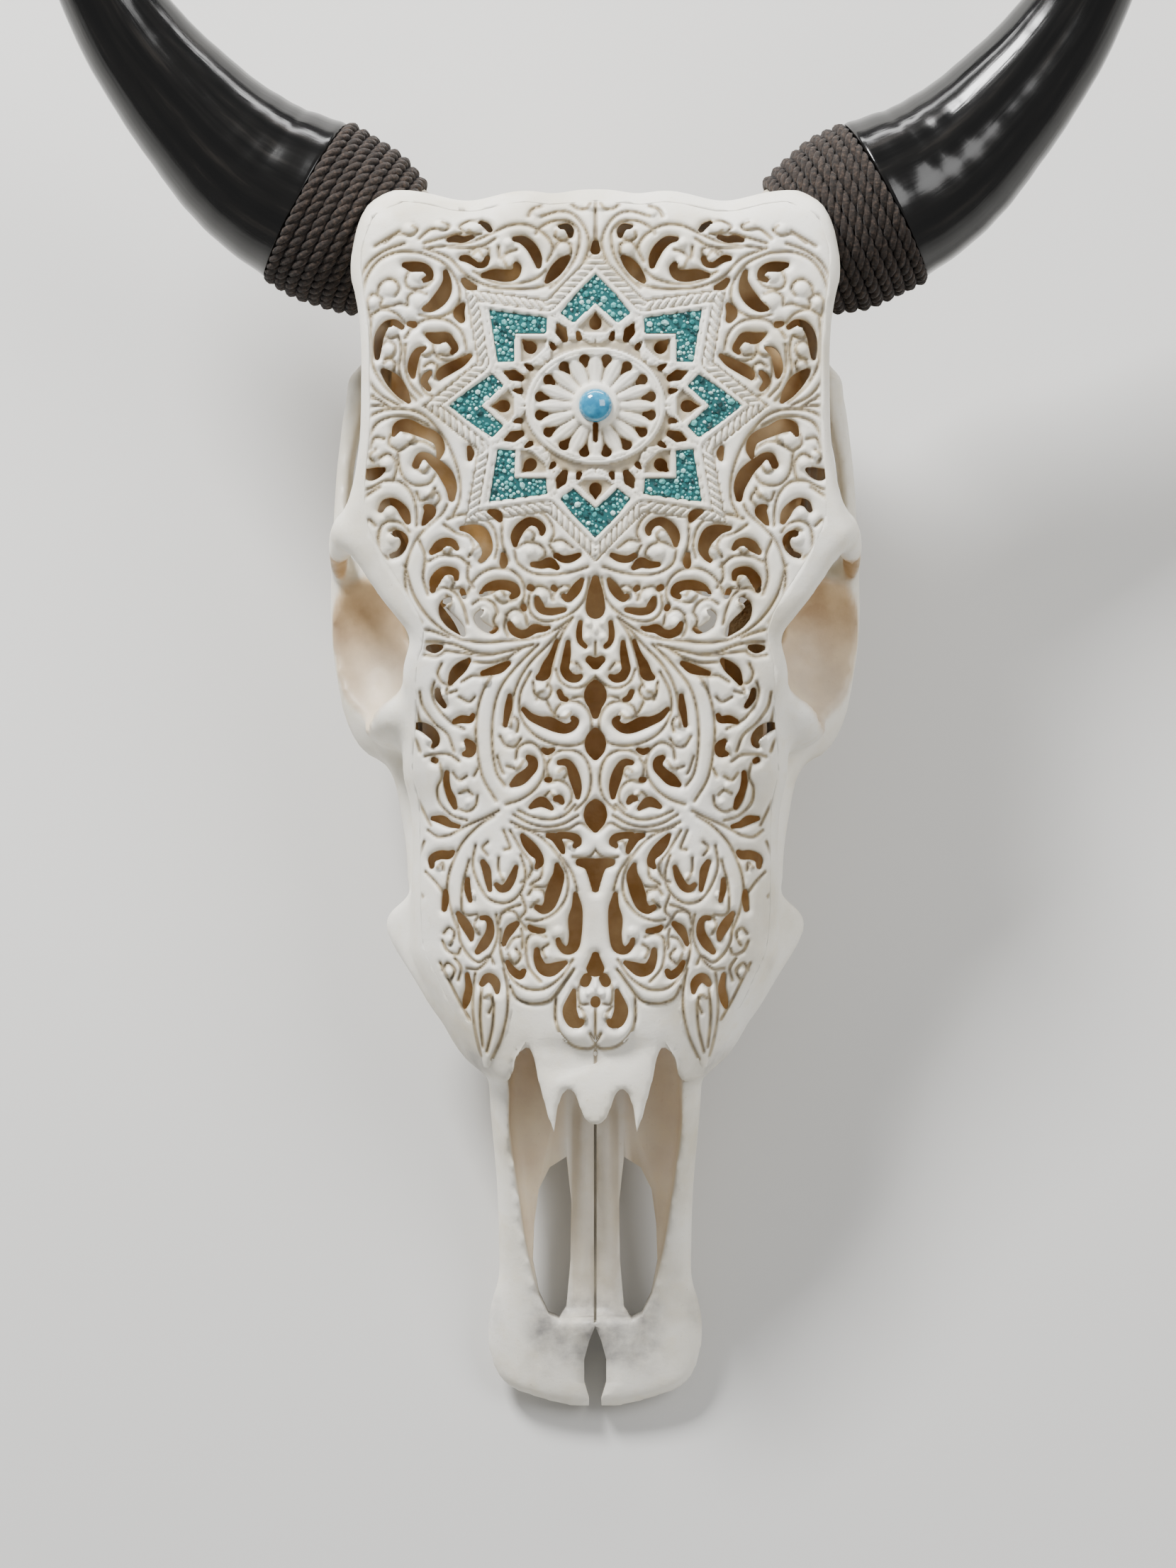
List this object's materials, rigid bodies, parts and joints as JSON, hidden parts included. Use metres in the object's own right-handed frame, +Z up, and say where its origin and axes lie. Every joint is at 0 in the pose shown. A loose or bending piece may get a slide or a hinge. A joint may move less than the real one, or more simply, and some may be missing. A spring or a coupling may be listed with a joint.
{
  "type": "carved cow skull",
  "caption": "Horned cow skull without its lower jaw, forehead and nose pierced with scroll carving around an inlaid star.",
  "frame": {"origin": "centre of the bounding box's footprint, on the surface that the teeth and jugular processes stand on", "axes": "+Z up, -Y towards the muzzle, +Y towards the horn tips, +X to the viewer's right when facing the muzzle from the front; the face plane leans 12 degrees towards -Y"},
  "size_m": [0.4656, 0.72, 0.2773],
  "materials": {
    "bone": "matte, hand-carved, warm white with ochre recesses",
    "tooth": "worn enamel",
    "horn": "polished black horn",
    "rope": "twisted dark brown fibre",
    "crushed_turquoise": "crushed stone set in resin",
    "bead": "polished stone"
  },
  "bodies": {
    "root": {"skull": "bone", "tooth_left_1": "tooth", "tooth_left_2": "tooth", "tooth_left_3": "tooth", "tooth_left_4": "tooth", "tooth_left_5": "tooth", "tooth_left_6": "tooth", "tooth_right_1": "tooth", "tooth_right_2": "tooth", "tooth_right_3": "tooth", "tooth_right_4": "tooth", "tooth_right_5": "tooth", "tooth_right_6": "tooth", "horn_left": "horn", "horn_right": "horn", "rope_wrap_left": "rope", "rope_wrap_right": "rope", "turquoise_bead": "bead", "turquoise_inlay_1": "crushed_turquoise", "turquoise_inlay_2": "crushed_turquoise", "turquoise_inlay_3": "crushed_turquoise", "turquoise_inlay_4": "crushed_turquoise", "turquoise_inlay_5": "crushed_turquoise", "turquoise_inlay_6": "crushed_turquoise", "turquoise_inlay_7": "crushed_turquoise", "turquoise_inlay_8": "crushed_turquoise"}
  },
  "joints": []
}
